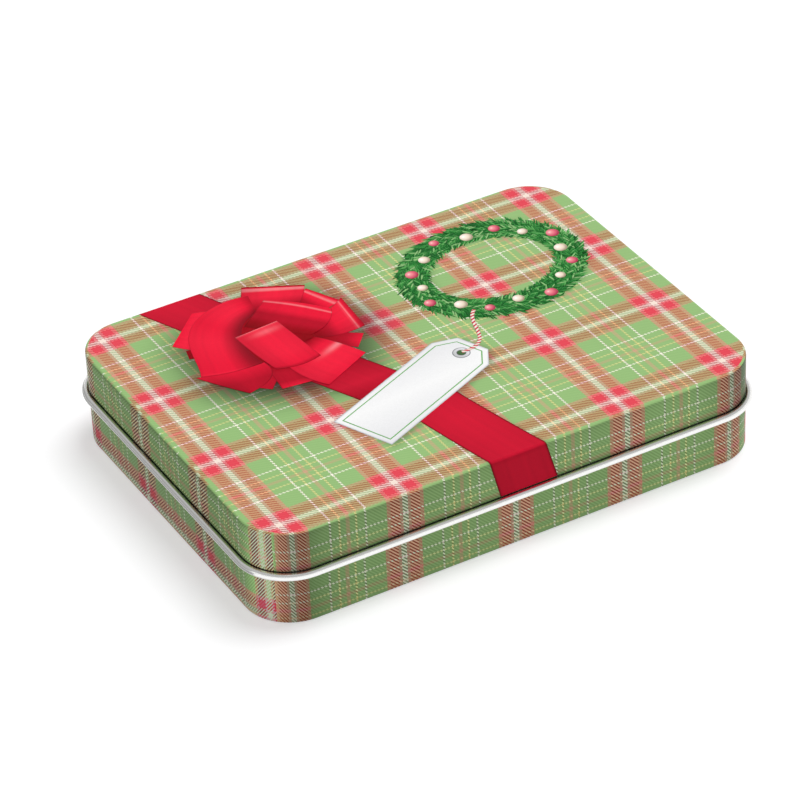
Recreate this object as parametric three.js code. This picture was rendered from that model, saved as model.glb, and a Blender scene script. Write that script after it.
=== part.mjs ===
// A two-piece gift tin, pressed from thin tinplate.
//
// The tray is one drawn pan. Its floor is raised a little inside a flat foot ring, and its
// mouth is rolled outwards into a hollow round bead, so the bare inner side of the sheet
// shows there. The lid is a second pan. Its wall is flush with the tray's wall, steps in
// above the bead and goes on as a plug that fits inside the mouth, with a hemmed edge.
//
// Millimetres, +Z up, X along the long side. The origin is on the table, under the middle.
import * as THREE from "three";

// Driving sizes of the closed tin.
const LENGTH = 152; // outside of the walls, along X
const WIDTH = 113; // outside of the walls, along Y
const CORNER_RADIUS = 13.7; // outside of the walls, seen from above
const CLOSED_HEIGHT = 28.5; // from the table to the top of the lid
const SHEET = 0.25; // thickness of the tinplate

// The tray.
const BEAD_HEIGHT = 15.5; // from the table to the middle of the bead
const BEAD_DIAMETER = 2.2;
const BEAD_SLIT = 0.15; // left open between the rolled edge and the wall
const FOOT_BEND = 0.6; // outside radius between the wall and the foot ring
const FOOT_WIDTH = 2.5; // flat part of the foot ring
const FLOOR_RISE = 0.9; // from the foot ring up to the floor panel
const FLOOR_BEND = 0.8; // middle radius of the two bends between them

// The lid.
const LID_BEND = 0.7; // outside radius between the top panel and the wall
const PLUG_CLEARANCE = 0.3; // from the plug to the mouth, on each side
const SEAT_GAP = 0.3; // from the shoulder to the bead when the lid is down
const SHOULDER_BEND = 0.4; // middle radius of the two bends of the step
const PLUG_DEPTH = 6; // from the middle of the bead down to the plug's hem
const HEM_DIAMETER = 1.3;
const HEM_TURN = 205; // degrees that the hem is rolled through

// How finely the round stretches are cut.
const CORNER_STEPS = 10; // for a quarter turn seen from above
const BEND_STEP = 24; // degrees at most, for a bend of the sheet

const QUARTER_TURN = 90;
const radians = THREE.MathUtils.degToRad;
const degrees = THREE.MathUtils.radToDeg;

// Walks along the middle of a bent sheet, seen in section. A point's reach is how far it
// lies outside the walls' outer face (inside is negative), and its height is above the table.
class SheetWalk {
  constructor(reach, height, heading) {
    this.at = new THREE.Vector2(reach, height);
    this.heading = heading;
    this.steps = [];
    this.note();
  }

  note() {
    this.steps.push({ at: this.at.clone(), heading: this.heading });
  }

  direction() {
    const angle = radians(this.heading);
    return new THREE.Vector2(Math.cos(angle), Math.sin(angle));
  }

  // Goes straight on.
  run(length) {
    this.at.addScaledVector(this.direction(), length);
    this.note();
    return this;
  }

  // Goes round a bend of the given middle radius: to the left for a positive turn.
  bend(radius, turn) {
    const count = Math.ceil(Math.abs(turn) / BEND_STEP);
    const chord = 2 * radius * Math.sin(radians(Math.abs(turn)) / count / 2);
    for (let i = 0; i < count; i++) {
      this.heading += turn / count / 2;
      this.at.addScaledVector(this.direction(), chord);
      this.heading += turn / count / 2;
      this.note();
    }
    return this;
  }

  // The walk moved sideways by half the sheet: side 1 is to the left, side -1 to the right.
  face(side) {
    return this.steps.map(({ at, heading }) => {
      const angle = radians(heading + side * QUARTER_TURN);
      return new THREE.Vector2(Math.cos(angle), Math.sin(angle)).multiplyScalar(SHEET / 2).add(at);
    });
  }
}

// The turn that two equal and opposite bends need to shift a sheet sideways by an offset.
function stepTurn(offset, radius) {
  return degrees(Math.acos(1 - offset / (2 * radius)));
}

// The tin's outline seen from above, at a reach from the walls' outer face.
function outline(reach, height) {
  const radius = CORNER_RADIUS + reach;
  const points = [];
  for (let corner = 0; corner < 4; corner++) {
    const middle = radians((corner + 1 / 2) * QUARTER_TURN);
    const x = Math.sign(Math.cos(middle)) * (LENGTH / 2 - CORNER_RADIUS);
    const y = Math.sign(Math.sin(middle)) * (WIDTH / 2 - CORNER_RADIUS);
    for (let i = 0; i <= CORNER_STEPS; i++) {
      const angle = radians((corner + i / CORNER_STEPS) * QUARTER_TURN);
      points.push(new THREE.Vector3(x + radius * Math.cos(angle), y + radius * Math.sin(angle), height));
    }
  }
  return points;
}

// Carries a sheet's section round the tin. The walk starts on a flat panel, and both faces
// of that panel are closed from the middle. The solid lies to the left of the section's path.
function pan(walk, firstSide) {
  const section = [...walk.face(firstSide), ...walk.face(-firstSide).reverse()];
  const rings = section.map((p) => outline(p.x, p.y));
  const count = rings[0].length;
  const positions = rings.flat();
  const below = positions.push(new THREE.Vector3(0, 0, rings[0][0].z)) - 1;
  const above = positions.push(new THREE.Vector3(0, 0, rings.at(-1)[0].z)) - 1;
  const last = (rings.length - 1) * count;
  const index = [];
  for (let i = 0; i < count; i++) {
    const next = (i + 1) % count;
    index.push(below, next, i, above, last + i, last + next);
    for (let ring = 0; ring < last; ring += count) {
      index.push(ring + i, ring + next, ring + count + i);
      index.push(ring + next, ring + count + next, ring + count + i);
    }
  }
  const geometry = new THREE.BufferGeometry().setFromPoints(positions);
  geometry.setIndex(index);
  geometry.computeVertexNormals();
  return geometry;
}

// The tray's section, from the floor panel out to the rolled edge of the bead.
function traySection() {
  const floorTurn = stepTurn(FLOOR_RISE, FLOOR_BEND);
  const floorStep = 2 * FLOOR_BEND * Math.sin(radians(floorTurn));
  const beadMiddleRadius = (BEAD_DIAMETER - SHEET) / 2;
  const edgeReach = (BEAD_SLIT - (beadMiddleRadius - SHEET / 2)) / (BEAD_DIAMETER / 2);
  return new SheetWalk(-FOOT_BEND - FOOT_WIDTH - floorStep, FLOOR_RISE + SHEET / 2, 0)
    .bend(FLOOR_BEND, -floorTurn)
    .bend(FLOOR_BEND, floorTurn)
    .run(FOOT_WIDTH)
    .bend(FOOT_BEND - SHEET / 2, QUARTER_TURN)
    .run(BEAD_HEIGHT - FOOT_BEND)
    .bend(beadMiddleRadius, -2 * QUARTER_TURN - degrees(Math.acos(edgeReach)));
}

// The lid's section, from the top panel out and down to the hem of the plug.
function lidSection() {
  const beadMiddle = new THREE.Vector2(BEAD_DIAMETER / 2 - SHEET, BEAD_HEIGHT);
  const shoulderReach = -SHEET / 2 - SHOULDER_BEND;
  const seatDistance = BEAD_DIAMETER / 2 + SEAT_GAP + SHOULDER_BEND + SHEET / 2;
  const shoulderHeight = BEAD_HEIGHT + Math.sqrt(seatDistance ** 2 - (beadMiddle.x - shoulderReach) ** 2);
  const shoulderTurn = stepTurn(SHEET + PLUG_CLEARANCE, SHOULDER_BEND);
  const plugTop = shoulderHeight - 2 * SHOULDER_BEND * Math.sin(radians(shoulderTurn));
  const hemMiddleRadius = (HEM_DIAMETER - SHEET) / 2;
  const hemHeight = BEAD_HEIGHT - PLUG_DEPTH + HEM_DIAMETER / 2;
  return new SheetWalk(-LID_BEND, CLOSED_HEIGHT - SHEET / 2, 0)
    .bend(LID_BEND - SHEET / 2, -QUARTER_TURN)
    .run(CLOSED_HEIGHT - LID_BEND - shoulderHeight)
    .bend(SHOULDER_BEND, -shoulderTurn)
    .bend(SHOULDER_BEND, shoulderTurn)
    .run(plugTop - hemHeight)
    .bend(hemMiddleRadius, -HEM_TURN);
}

// Lithographed tinplate, as one colour for each pan.
function printedTinplate(color) {
  return new THREE.MeshStandardMaterial({ color, roughness: 0.35, metalness: 0.1 });
}

function tray() {
  const mesh = new THREE.Mesh(pan(traySection(), -1), printedTinplate(0x8fae6c));
  mesh.name = "tray";
  return mesh;
}

function lid() {
  const mesh = new THREE.Mesh(pan(lidSection(), -1), printedTinplate(0xa6b878));
  mesh.name = "lid";
  return mesh;
}

const giftTin = new THREE.Group();
giftTin.add(tray(), lid());
export default giftTin;
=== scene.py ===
"""The looks of a two-piece gift tin: plaid printed tinplate, a bare rolled rim and a painted bow.

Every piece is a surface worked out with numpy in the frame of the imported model, in millimetres,
and turned to metres where its mesh is made. The tin's long side lies along X, its front is at -Y.
"""

import logging
import math
from dataclasses import dataclass, field
from enum import Enum
from typing import Callable, Mapping

import bpy
import numpy as np
from mathutils import Matrix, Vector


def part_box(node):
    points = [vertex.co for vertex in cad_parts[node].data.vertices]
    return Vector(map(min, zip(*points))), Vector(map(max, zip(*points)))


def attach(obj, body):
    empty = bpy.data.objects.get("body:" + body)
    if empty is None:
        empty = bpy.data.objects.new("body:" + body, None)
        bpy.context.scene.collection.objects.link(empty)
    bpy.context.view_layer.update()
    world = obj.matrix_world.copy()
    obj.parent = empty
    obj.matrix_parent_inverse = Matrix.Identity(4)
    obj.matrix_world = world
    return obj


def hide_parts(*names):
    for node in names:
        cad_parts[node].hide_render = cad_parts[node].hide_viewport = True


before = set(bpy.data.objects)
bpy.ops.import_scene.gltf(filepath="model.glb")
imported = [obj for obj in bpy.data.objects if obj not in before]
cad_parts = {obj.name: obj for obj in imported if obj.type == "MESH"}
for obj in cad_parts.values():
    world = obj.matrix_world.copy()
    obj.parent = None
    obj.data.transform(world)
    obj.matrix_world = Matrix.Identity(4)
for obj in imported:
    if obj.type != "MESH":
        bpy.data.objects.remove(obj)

LOG = logging.getLogger("gift_tin")
MM = 0.001
SCREEN_GAMMA = 2.2  # a level as the eye sees it, raised to this power, is linear light
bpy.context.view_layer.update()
Array = np.ndarray
Color = tuple[float, float, float, float]
WHITE = (1, 1, 1, 1)
Point = tuple[float, float]
Shape = Callable[[Array, Array], Array]
Shade = tuple[Point, float, float]
Ramp = tuple[tuple[float, str], ...]


def linear(code: str) -> Color:
    """Turns an sRGB hex colour to linear light.

    Args:
        code: Six hex digits, such as "8BC77B".

    Returns:
        Red, green, blue and an alpha of one.
    """
    values = np.array([int(code[i:i + 2], 16) for i in (0, 2, 4)]) / 255
    low, high = values / 12.92, ((values + 0.055) / 1.055) ** 2.4
    return (*np.where(values <= 0.04045, low, high).tolist(), 1.0)


def add(tree: bpy.types.NodeTree, kind: str, inputs: Mapping | None = None, **settings) -> bpy.types.Node:
    """Adds one node with its settings and links.

    Args:
        tree: The node tree to add to.
        kind: The node's type, such as "ShaderNodeMath".
        inputs: Socket names or numbers, each with a value, or with the output that feeds it. A node
            stands for its first output.
        settings: The node's own settings.

    Returns:
        The new node.
    """
    node = tree.nodes.new(kind)
    for name, value in settings.items():
        setattr(node, name, value)
    for key, value in (inputs or {}).items():
        if isinstance(value, bpy.types.Node):
            value = value.outputs[0]
        if isinstance(value, bpy.types.NodeSocket):
            tree.links.new(value, node.inputs[key])
        else:
            node.inputs[key].default_value = value
    return node


def new_tree(name: str) -> tuple[bpy.types.Material, bpy.types.NodeTree]:
    """Makes an empty node material.

    Args:
        name: The material's name.

    Returns:
        The material and its node tree.
    """
    made = bpy.data.materials.new(name)
    made.use_nodes = True
    made.node_tree.nodes.clear()
    return made, made.node_tree


def make_mesh(name: str, points: Array, faces: list) -> bpy.types.Object:
    """Makes a smooth-shaded mesh object at the origin.

    Args:
        name: The piece's name.
        points: Its points in millimetres, of shape (n, 3).
        faces: Its faces as lists of corner numbers.

    Returns:
        The object, linked into the scene.
    """
    mesh = bpy.data.meshes.new(name)
    mesh.from_pydata((points * MM).tolist(), [], faces)
    mesh.polygons.foreach_set("use_smooth", np.ones(len(mesh.polygons), bool))
    mesh.update()
    piece = bpy.data.objects.new(name, mesh)
    bpy.context.scene.collection.objects.link(piece)
    return piece


class Side(Enum):
    """A side of the tin, with the outward direction of its flat wall."""

    FRONT = (0, -1)
    RIGHT = (1, 0)
    BACK = (0, 1)
    LEFT = (-1, 0)


class Surface(Enum):
    """What a stretch of sheet shows, as the material's place in a shell's list."""

    PRINTED = 0
    BARE = 1


@dataclass(frozen=True)
class TinSizes:
    """The tin's driving sizes in millimetres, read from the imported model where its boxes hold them."""

    length: float
    width: float
    top: float
    rim_top: float
    plug_bottom: float
    rim_diameter: float
    sheet: float = 0.25
    corner_radius: float = 13.7
    foot_bend: float = 0.6
    foot_width: float = 2.5
    floor_rise: float = 0.9
    floor_bend: float = 0.8
    lid_bend: float = 0.7
    plug_clearance: float = 0.3
    seat_gap: float = 0.3
    shoulder_bend: float = 0.4
    hem_diameter: float = 1.3
    hem_turn: float = 205.0
    rim_slit: float = 0.15

    @classmethod
    def from_frame(cls) -> "TinSizes":
        """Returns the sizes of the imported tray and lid."""
        _, tray_high = (np.array(corner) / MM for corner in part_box("tray"))
        lid_low, lid_high = (np.array(corner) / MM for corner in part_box("lid"))
        return cls(
            length=lid_high[0] - lid_low[0],
            width=lid_high[1] - lid_low[1],
            top=lid_high[2],
            rim_top=tray_high[2],
            plug_bottom=lid_low[2],
            rim_diameter=tray_high[0] - lid_high[0] + cls.sheet,
        )

    @property
    def rim_height(self) -> float:
        """The height of the rolled rim's middle."""
        return self.rim_top - self.rim_diameter / 2


class SheetWalk:
    """The middle line of a bent sheet in section, walked in straight runs and bends.

    A point is (reach, height): reach is how far it lies outside the walls' outer face, negative
    inside. A bend of middle radius r through an angle a is a row of chords on that circle.
    """

    BEND_STEP = 7.5

    def __init__(self, reach: float, height: float, heading: float, surface: Surface) -> None:
        """Starts the walk.

        Args:
            reach: The first point's reach.
            height: The first point's height.
            heading: The direction of travel in degrees, 0 outwards and 90 up.
            surface: What the sheet's outside shows at first.
        """
        self.points = [np.array([reach, height])]
        self.headings = [heading]
        self.surface = surface
        self.surfaces: list[int] = []

    def shows(self, surface: Surface) -> "SheetWalk":
        """Changes what the sheet's outside shows from here on, and returns the walk."""
        self.surface = surface
        return self

    def step(self, length: float, heading: float, turned: float) -> None:
        """Takes one straight step.

        Args:
            length: The step's length.
            heading: The step's direction in degrees.
            turned: The heading that the step ends with.
        """
        angle = math.radians(heading)
        self.points.append(self.points[-1] + np.array([math.cos(angle), math.sin(angle)]) * length)
        self.headings.append(turned)
        self.surfaces.append(self.surface.value)

    def run(self, length: float, steps: int = 1) -> "SheetWalk":
        """Goes straight on.

        Args:
            length: How far to go.
            steps: How many equal steps to take.

        Returns:
            The walk itself.
        """
        for _ in range(steps):
            self.step(length / steps, self.headings[-1], self.headings[-1])
        return self

    def bend(self, radius: float, turn: float) -> "SheetWalk":
        """Goes round a bend: a chord of an angle a is 2 r sin(a / 2) long.

        Args:
            radius: The bend's radius at the middle of the sheet.
            turn: The angle in degrees, positive to the left.

        Returns:
            The walk itself.
        """
        count = math.ceil(abs(turn) / self.BEND_STEP)
        part = turn / count
        chord = 2 * radius * math.sin(math.radians(abs(part)) / 2)
        for _ in range(count):
            self.step(chord, self.headings[-1] + part / 2, self.headings[-1] + part)
        return self

    def face(self, offset: float) -> Array:
        """Moves the walk sideways.

        Args:
            offset: How far, positive to the left of the direction of travel.

        Returns:
            The moved points, as rows of (reach, height).
        """
        angles = np.radians(np.array(self.headings) + 90)
        return np.array(self.points) + offset * np.stack([np.cos(angles), np.sin(angles)], axis=1)


def step_turn(offset: float, radius: float) -> float:
    """The angle of two equal and opposite bends that shift a sheet sideways.

    Two bends of middle radius r through an angle a shift it by 2 r (1 - cos a).

    Args:
        offset: The sideways shift.
        radius: The bends' middle radius.

    Returns:
        The angle in degrees.
    """
    return math.degrees(math.acos(1 - offset / (2 * radius)))


class Plan:
    """The rounded rectangle that both pans follow, seen from above.

    Its point j at a reach d is centre[j] + (R + d) * normal[j], where the centre stays in a
    corner while the normal turns, so every reach gives a parallel outline.
    """

    CORNER_STEPS = 24
    SIDE_STEPS = 84

    def __init__(self, sizes: TinSizes) -> None:
        """Lays out the centres and normals.

        Args:
            sizes: The tin's sizes.
        """
        self.radius = sizes.corner_radius
        inner = np.array([sizes.length, sizes.width]) / 2 - self.radius
        corners = np.array([[1, 1], [-1, 1], [-1, -1], [1, -1]]) * inner
        centres, normals = [], []
        for quarter in range(4):
            angles = np.radians(90 * (quarter + np.linspace(0, 1, self.CORNER_STEPS + 1)))
            arc = np.stack([np.cos(angles), np.sin(angles)], axis=1)
            centres.append(np.repeat(corners[quarter][None], len(arc), axis=0))
            normals.append(arc)
            share = np.linspace(0, 1, self.SIDE_STEPS + 1)[1:-1, None]
            following = corners[(quarter + 1) % 4]
            centres.append(corners[quarter] * (1 - share) + following * share)
            normals.append(np.repeat(arc[-1:], len(share), axis=0))
        self.centres = np.concatenate(centres)
        self.normals = np.concatenate(normals)

    def sweep(self, section: Array) -> Array:
        """Carries a section round the plan.

        Args:
            section: Rows of (reach, height).

        Returns:
            Points of shape (section rows, plan points, 3).
        """
        spread = self.radius + section[:, 0]
        flat = self.centres[None] + spread[:, None, None] * self.normals[None]
        heights = np.broadcast_to(section[:, 1, None, None], (*flat.shape[:2], 1))
        return np.concatenate([flat, heights], axis=2)

    def sides(self) -> Array:
        """Returns, for each plan step, the number of the Side that its middle normal leans to."""
        middle = self.normals + np.roll(self.normals, -1, axis=0)
        directions = np.array([side.value for side in Side])
        return np.argmax(middle @ directions.T, axis=1)


@dataclass(frozen=True)
class SatinVarnish:
    """The stoved varnish over the whole print.

    It gives the eye a faint even gloss with a slight orange peel, soft enough to hide its lamps.
    The peel's scale is in waves to a metre and its depth in millimetres.
    """

    roughness: float = 0.42
    unevenness: float = 0.04
    specular: float = 0.12
    peel_scale: float = 900.0
    peel_depth: float = 0.02
    peel_strength: float = 0.05

    def finish(self, tree: bpy.types.NodeTree, color: bpy.types.NodeSocket) -> None:
        """Ends a print's node tree with the varnished sheet.

        Args:
            tree: The node tree.
            color: The print's colour.
        """
        place = add(tree, "ShaderNodeTexCoord").outputs["Object"]
        peel = add(tree, "ShaderNodeTexNoise", {"Vector": place, "Scale": self.peel_scale, "Detail": 2.0})
        low, high = self.roughness - self.unevenness, self.roughness + self.unevenness
        uneven = add(tree, "ShaderNodeMapRange", {"Value": peel, "To Min": low, "To Max": high})
        bump = add(
            tree, "ShaderNodeBump",
            {"Strength": self.peel_strength, "Distance": self.peel_depth * MM, "Height": peel},
        )
        surface = add(
            tree, "ShaderNodeBsdfPrincipled",
            {"Base Color": color, "Roughness": uneven, "Normal": bump, "Specular IOR Level": self.specular},
        )
        add(tree, "ShaderNodeOutputMaterial", {"Surface": surface})


@dataclass(frozen=True)
class PlaidPrint:
    """A woven plaid lithographed on the tinplate, thread by thread.

    It gives the eye a two-and-two twill: each thread shows over two and under two, so stripes mix
    where they cross. The screen blurs the hues into one another and sharpens the levels, the more
    so on the walls: pairs are for the panel and for the walls. The print's map is in millimetres
    of the flat sheet. Warp and weft are each a thread's width and a pivot's place. The sett lists
    colours and thread counts from one pivot to the next, and is read there and back. The palest
    colour is as seen, from 0 to 1.
    """

    varnish: SatinVarnish
    name: str = "plaid_lithographed_tinplate"
    warp: Point = (0.2718, -1.27)
    weft: Point = (0.2688, 16.55)
    askew: float = -0.17
    threads_over: float = 2.0
    warp_share: float = 0.58
    own_hue: float = 0.25
    contrast: Point = (0.75, 2.2)
    relief: Point = (0.01, 0.045)
    dark_lean: Point = (0.0, 0.4)
    palest: tuple[float, float, float] = (0.96, 1.0, 0.88)
    sett: tuple[tuple[str, float], ...] = (
        ("F3E1D4", 3.0),
        ("E0888A", 2.5),
        ("E24654", 10.5),
        ("E2827C", 3.5),
        ("94BB78", 22.5),
        ("FBF1E6", 1.5),
        ("94BB78", 8.5),
        ("E0D48C", 2.0),
        ("94BB78", 5.5),
        ("CAA282", 2.5),
    )

    def material(self) -> bpy.types.Material:
        """Returns the printed and varnished sheet: the cloth times its printed shade and painted light, up
        to the palest colour.
        """
        made, tree = new_tree(self.name)
        # The picture's printed shade on the top, times the painted light and shade on the walls
        shade = add(tree, "ShaderNodeAttribute", attribute_name="print_and_painted_shade").outputs["Color"]
        shaded = add(tree, "ShaderNodeVectorMath", {0: self.cloth(tree), 1: shade}, operation="MULTIPLY")
        palest = tuple(level**SCREEN_GAMMA for level in self.palest)
        kept = add(tree, "ShaderNodeVectorMath", {0: shaded, 1: palest}, operation="MINIMUM")
        self.varnish.finish(tree, kept.outputs[0])
        return made

    def cloth(self, tree: bpy.types.NodeTree) -> bpy.types.Node:
        """Adds the woven colour, worked out in values as seen.

        With c for the thread on top, b for the two threads' blend and level() for a colour's grey,
        it is b + own_hue (c - b) + contrast (level(c) - level(b)), plus the relief where the warp
        is on top and minus it where the weft is. The blend leans to the darker thread by dark_lean.

        Args:
            tree: The node tree to add to.

        Returns:
            The node that gives the colour in linear light.
        """
        askew = (0, 0, math.radians(self.askew))
        sheet = add(tree, "ShaderNodeUVMap", uv_map="print")
        turned = add(tree, "ShaderNodeMapping", {"Vector": sheet, "Rotation": askew})
        axes = add(tree, "ShaderNodeSeparateXYZ", {"Vector": turned})
        warp_number, warp = self.threads(tree, axes.outputs["X"], *self.warp)
        weft_number, weft = self.threads(tree, axes.outputs["Y"], *self.weft)
        diagonal = add(tree, "ShaderNodeMath", {0: warp_number, 1: weft_number}, operation="ADD")
        repeat = 2 * self.threads_over
        shed = add(tree, "ShaderNodeMath", {0: diagonal, 1: repeat}, operation="FLOORED_MODULO")
        over = add(tree, "ShaderNodeMath", {0: shed, 1: self.threads_over}, operation="LESS_THAN")
        crisp = add(tree, "ShaderNodeAttribute", attribute_name="print_crispness").outputs["Fac"]
        contrast, relief, lean = (
            add(tree, "ShaderNodeMapRange", {"Value": crisp, "To Min": panel, "To Max": wall})
            for panel, wall in (self.contrast, self.relief, self.dark_lean)
        )
        tones = [add(tree, "ShaderNodeRGBToBW", {"Color": color}) for color in (weft, warp)]
        darker = add(tree, "ShaderNodeMath", {0: tones[0], 1: tones[1]}, operation="SUBTRACT")
        leaning = {0: darker, 1: lean, 2: self.warp_share}
        share = add(tree, "ShaderNodeMath", leaning, operation="MULTIPLY_ADD")
        seen = []
        for factor in (over, share):
            mix = add(tree, "ShaderNodeMix", {"Factor": factor, "A": weft, "B": warp}, data_type="RGBA")
            seen.append(add(tree, "ShaderNodeGamma", {"Color": mix.outputs[2], "Gamma": 1 / SCREEN_GAMMA}))
        levels = [add(tree, "ShaderNodeRGBToBW", {"Color": color}) for color in seen]
        side = add(tree, "ShaderNodeMapRange", {"Value": over, "To Min": -1.0, "To Max": 1.0})
        raised = add(tree, "ShaderNodeMath", {0: side, 1: relief}, operation="MULTIPLY")
        apart = add(tree, "ShaderNodeMath", {0: levels[0], 1: levels[1]}, operation="SUBTRACT")
        lift = add(tree, "ShaderNodeMath", {0: apart, 1: contrast, 2: raised}, operation="MULTIPLY_ADD")
        hues = {"Factor": self.own_hue, "A": seen[1], "B": seen[0]}
        hue = add(tree, "ShaderNodeMix", hues, data_type="RGBA")
        lifted = add(tree, "ShaderNodeVectorMath", {0: hue.outputs[2], 1: lift}, operation="ADD")
        kept = add(tree, "ShaderNodeVectorMath", {0: lifted, 1: (0, 0, 0)}, operation="MAXIMUM")
        kept = add(tree, "ShaderNodeVectorMath", {0: kept, 1: self.palest}, operation="MINIMUM")
        return add(tree, "ShaderNodeGamma", {"Color": kept, "Gamma": SCREEN_GAMMA})

    def threads(
        self, tree: bpy.types.NodeTree, across: bpy.types.NodeSocket, pitch: float, pivot: float,
    ) -> tuple[bpy.types.Node, bpy.types.NodeSocket]:
        """Adds one set of threads: n = floor((x - pivot) / pitch), coloured by n folded at the pivots.

        Args:
            tree: The node tree to add to.
            across: The sheet's coordinate across the threads.
            pitch: One thread's width.
            pivot: Where the sett's first colour has its middle.

        Returns:
            The node of the thread's number, and its colour.
        """
        half = sum(count for _, count in self.sett)
        moved = add(tree, "ShaderNodeMath", {0: across, 1: pivot}, operation="SUBTRACT")
        count = add(tree, "ShaderNodeMath", {0: moved, 1: pitch}, operation="DIVIDE")
        number = add(tree, "ShaderNodeMath", {0: count}, operation="FLOOR")
        middle = add(tree, "ShaderNodeMath", {0: number, 1: 0.5}, operation="ADD")
        folded = add(tree, "ShaderNodeMath", {0: middle, 1: half}, operation="PINGPONG")
        share = add(tree, "ShaderNodeMath", {0: folded, 1: half}, operation="DIVIDE")
        stripe = add(tree, "ShaderNodeValToRGB", {"Fac": share})
        ramp = stripe.color_ramp
        ramp.interpolation = "CONSTANT"
        ramp.elements.remove(ramp.elements[-1])
        start = 0.0
        for place, (code, threads) in enumerate(self.sett):
            stop = ramp.elements[0] if place == 0 else ramp.elements.new(start / half)
            stop.color = linear(code)
            start += threads
        return number, stripe.outputs["Color"]


@dataclass(frozen=True)
class PaintedInk:
    """Opaque litho ink, painted point by point, under the same varnish.

    It gives the eye smooth painted light and shade with a trace of printing grain.
    """

    varnish: SatinVarnish = SatinVarnish(specular=0.04)
    name: str = "lithographed_picture_ink"
    grain: float = 0.05
    grain_scale: float = 2500.0

    def material(self) -> bpy.types.Material:
        """Returns the ink."""
        made, tree = new_tree(self.name)
        ink = add(tree, "ShaderNodeAttribute", attribute_name="ink").outputs["Color"]
        place = add(tree, "ShaderNodeTexCoord").outputs["Object"]
        speck = add(tree, "ShaderNodeTexNoise", {"Vector": place, "Scale": self.grain_scale, "Detail": 1.0})
        low, high = 1 - self.grain, 1 + self.grain
        level = add(tree, "ShaderNodeMapRange", {"Value": speck, "To Min": low, "To Max": high})
        dotted = add(tree, "ShaderNodeVectorMath", {0: ink, "Scale": level}, operation="SCALE")
        self.varnish.finish(tree, dotted.outputs[0])
        return made


@dataclass(frozen=True)
class BareTinplate:
    """Bare electrolytic tinplate, as rolled.

    The tin layer gives the eye a bright, slightly soft mirror with fine lines along the sheet.
    Scales are in waves to a metre, and the lines' depth is in millimetres.
    """

    name: str = "bare_rolled_tinplate"
    color: str = "F2F2F0"
    roughness: Point = (0.13, 0.25)
    line_scale: tuple[float, float, float] = (60.0, 4000.0, 4000.0)
    line_depth: float = 0.01
    line_strength: float = 0.08
    cloud_scale: float = 60.0
    detail: float = 3.0

    def material(self) -> bpy.types.Material:
        """Returns the bare metal."""
        made, tree = new_tree(self.name)
        place = add(tree, "ShaderNodeTexCoord").outputs["Object"]
        drawn = add(tree, "ShaderNodeMapping", {"Vector": place, "Scale": self.line_scale})
        lines, cloud = (
            add(tree, "ShaderNodeTexNoise", {"Vector": vector, "Scale": scale, "Detail": self.detail})
            for vector, scale in ((drawn, 1.0), (place, self.cloud_scale))
        )
        both = add(tree, "ShaderNodeMath", {0: lines, 1: cloud}, operation="ADD")
        low, high = self.roughness
        spread = {"Value": both, "From Min": 0.6, "From Max": 1.4, "To Min": low, "To Max": high}
        uneven = add(tree, "ShaderNodeMapRange", spread)
        bump = add(
            tree, "ShaderNodeBump",
            {"Strength": self.line_strength, "Distance": self.line_depth * MM, "Height": lines},
        )
        metal = {"Base Color": linear(self.color), "Metallic": 1.0, "Roughness": uneven, "Normal": bump}
        surface = add(tree, "ShaderNodeBsdfPrincipled", metal)
        add(tree, "ShaderNodeOutputMaterial", {"Surface": surface})
        return made


class CastShade:
    """The soft shade that the picture paints on the plaid, as a map of light over the lid's top."""

    CELL = 0.5
    MARGIN = 16.0
    SAMPLES = 90

    def __init__(self, sizes: TinSizes) -> None:
        """Starts with full light everywhere.

        Args:
            sizes: The tin's sizes.
        """
        self.low = -np.array([sizes.length, sizes.width]) / 2 - self.MARGIN
        self.counts = np.ceil(-2 * self.low / self.CELL).astype(int)
        self.light = np.ones(self.counts)

    def cast(self, shapes: list[Shape], shift: Point, spread: float, strength: float) -> None:
        """Darkens the map by the shapes' silhouette, moved and blurred.

        The blur is a Gaussian, multiplied on in the frequencies: exp(-2 (pi spread f)^2).

        Args:
            shapes: Functions that give the points of a shape from two shares.
            shift: How far the shade lies from the shapes.
            spread: The blur's standard deviation.
            strength: How much light the full shade takes away.
        """
        shares = np.linspace(0, 1, self.SAMPLES)
        across, along = np.meshgrid(shares, shares)
        mask = np.zeros(self.counts)
        for shape in shapes:
            cells = ((shape(across, along) + shift - self.low) / self.CELL).astype(int).reshape(-1, 2)
            cells = np.clip(cells, 0, self.counts - 1)
            mask[cells[:, 0], cells[:, 1]] = 1
        wide = np.fft.fftfreq(self.counts[0], self.CELL)[:, None]
        deep = np.fft.rfftfreq(self.counts[1], self.CELL)[None]
        blur = np.exp(-2 * (math.pi * spread) ** 2 * (wide**2 + deep**2))
        soft = np.fft.irfft2(np.fft.rfft2(mask) * blur, s=mask.shape)
        self.light *= 1 - strength * np.clip(soft, 0, 1)

    def at(self, places: Array) -> Array:
        """Returns the light at rows of (x, y)."""
        cells = np.clip(((places - self.low) / self.CELL).astype(int), 0, self.counts - 1)
        return self.light[cells[:, 0], cells[:, 1]]


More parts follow.
